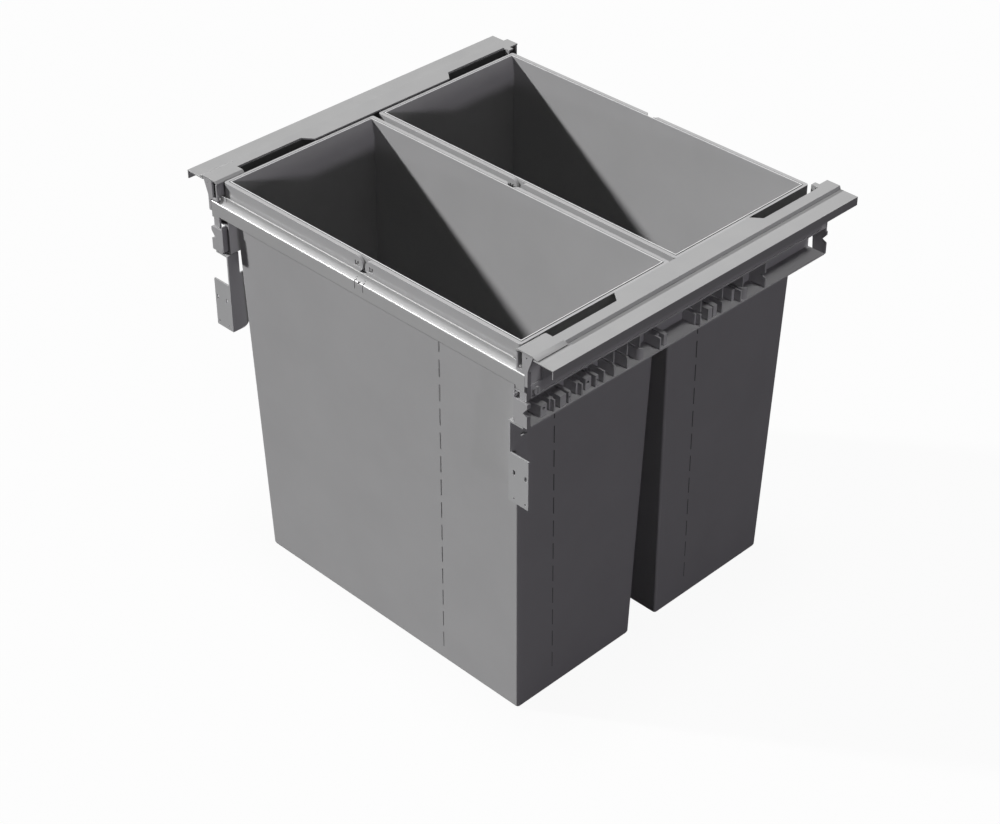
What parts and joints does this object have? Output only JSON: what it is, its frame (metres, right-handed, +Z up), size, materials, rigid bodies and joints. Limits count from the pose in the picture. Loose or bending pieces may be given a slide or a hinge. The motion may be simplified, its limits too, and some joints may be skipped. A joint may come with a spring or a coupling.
{
  "type": "pull-out waste bin unit",
  "caption": "Pull-out waste unit for a kitchen cabinet: tapered bins hang by their rims in a carriage on ball-bearing side rails, with brackets for the cabinet's door.",
  "frame": {"origin": "midway between the cabinet's sides, on the front plane that the door bears on, at mid-height of the cabinet rails' lips", "axes": "+X to the right seen from the front, +Y into the cabinet, +Z up"},
  "size_m": [0.562, 0.477, 0.5065],
  "materials": {
    "bin_plastic": "fine moulded grain, satin",
    "frame_plastic": "moulded, satin",
    "cover_paint": "satin grey powder coat",
    "frame_paint": "satin grey powder coat",
    "bracket_paint": "satin grey powder coat",
    "runner_steel": "rolled and zinc plated",
    "screw_steel": "zinc plated",
    "cage_plastic": "moulded",
    "buffer_rubber": "moulded"
  },
  "bodies": {
    "cabinet_rails": {"cabinet_rail_left": "cover_paint", "stop_buffer_left": "buffer_rubber", "cabinet_rail_right": "cover_paint", "stop_buffer_right": "buffer_rubber"},
    "carriage": {"front_rail": "frame_paint", "cross_bar": "frame_paint", "rear_rail": "frame_paint", "side_profile_left": "frame_plastic", "side_cover_left": "cover_paint", "front_end_plate_left": "frame_plastic", "rear_end_plate_left": "frame_plastic", "door_bracket_left": "bracket_paint", "bracket_screw_left": "screw_steel", "carriage_rail_left": "runner_steel", "runner_screw_front_left": "screw_steel", "runner_screw_rear_left": "screw_steel", "side_profile_right": "frame_plastic", "side_cover_right": "cover_paint", "front_end_plate_right": "frame_plastic", "rear_end_plate_right": "frame_plastic", "door_bracket_right": "bracket_paint", "bracket_screw_right": "screw_steel", "carriage_rail_right": "runner_steel", "runner_screw_front_right": "screw_steel", "runner_screw_rear_right": "screw_steel"},
    "middle_left": {"middle_rail_left": "runner_steel"},
    "outer_cage_left": {"outer_ball_cage_left": "cage_plastic"},
    "inner_cage_left": {"inner_ball_cage_left": "cage_plastic"},
    "adjuster_left": {"height_adjuster_left": "frame_plastic"},
    "middle_right": {"middle_rail_right": "runner_steel"},
    "outer_cage_right": {"outer_ball_cage_right": "cage_plastic"},
    "inner_cage_right": {"inner_ball_cage_right": "cage_plastic"},
    "adjuster_right": {"height_adjuster_right": "frame_plastic"},
    "front_bin": {"front_bin": "bin_plastic"},
    "rear_bin": {"rear_bin": "bin_plastic"}
  },
  "joints": [
    {"name": "carriage_slide", "type": "slide", "parent": "cabinet_rails", "child": "carriage", "axis": [0, -1, 0], "range_m": [0, 0.43]},
    {"name": "middle_slide_left", "type": "slide", "parent": "cabinet_rails", "child": "middle_left", "axis": [0, -1, 0], "range_m": [0, 0.215]},
    {"name": "outer_cage_slide_left", "type": "slide", "parent": "cabinet_rails", "child": "outer_cage_left", "axis": [0, -1, 0], "range_m": [0, 0.1075]},
    {"name": "inner_cage_slide_left", "type": "slide", "parent": "cabinet_rails", "child": "inner_cage_left", "axis": [0, -1, 0], "range_m": [0, 0.3225]},
    {"name": "adjuster_turn_left", "type": "hinge", "parent": "carriage", "child": "adjuster_left", "pos_m": [-0.2468, 0.013, -0.03975], "axis": [1, 0, 0], "range_deg": [-90, 90]},
    {"name": "middle_slide_right", "type": "slide", "parent": "cabinet_rails", "child": "middle_right", "axis": [0, -1, 0], "range_m": [0, 0.215]},
    {"name": "outer_cage_slide_right", "type": "slide", "parent": "cabinet_rails", "child": "outer_cage_right", "axis": [0, -1, 0], "range_m": [0, 0.1075]},
    {"name": "inner_cage_slide_right", "type": "slide", "parent": "cabinet_rails", "child": "inner_cage_right", "axis": [0, -1, 0], "range_m": [0, 0.3225]},
    {"name": "adjuster_turn_right", "type": "hinge", "parent": "carriage", "child": "adjuster_right", "pos_m": [0.2468, 0.013, -0.03975], "axis": [1, 0, 0], "range_deg": [-90, 90]},
    {"name": "front_bin_lift", "type": "slide", "parent": "carriage", "child": "front_bin", "axis": [0, 0, 1], "range_m": [0, 0.52]},
    {"name": "rear_bin_lift", "type": "slide", "parent": "carriage", "child": "rear_bin", "axis": [0, 0, 1], "range_m": [0, 0.52]}
  ],
  "couplings": [
    {"joint": "middle_slide_left", "follows": "carriage_slide", "ratio": 0.5},
    {"joint": "outer_cage_slide_left", "follows": "carriage_slide", "ratio": 0.25},
    {"joint": "inner_cage_slide_left", "follows": "carriage_slide", "ratio": 0.75},
    {"joint": "middle_slide_right", "follows": "carriage_slide", "ratio": 0.5},
    {"joint": "outer_cage_slide_right", "follows": "carriage_slide", "ratio": 0.25},
    {"joint": "inner_cage_slide_right", "follows": "carriage_slide", "ratio": 0.75}
  ]
}
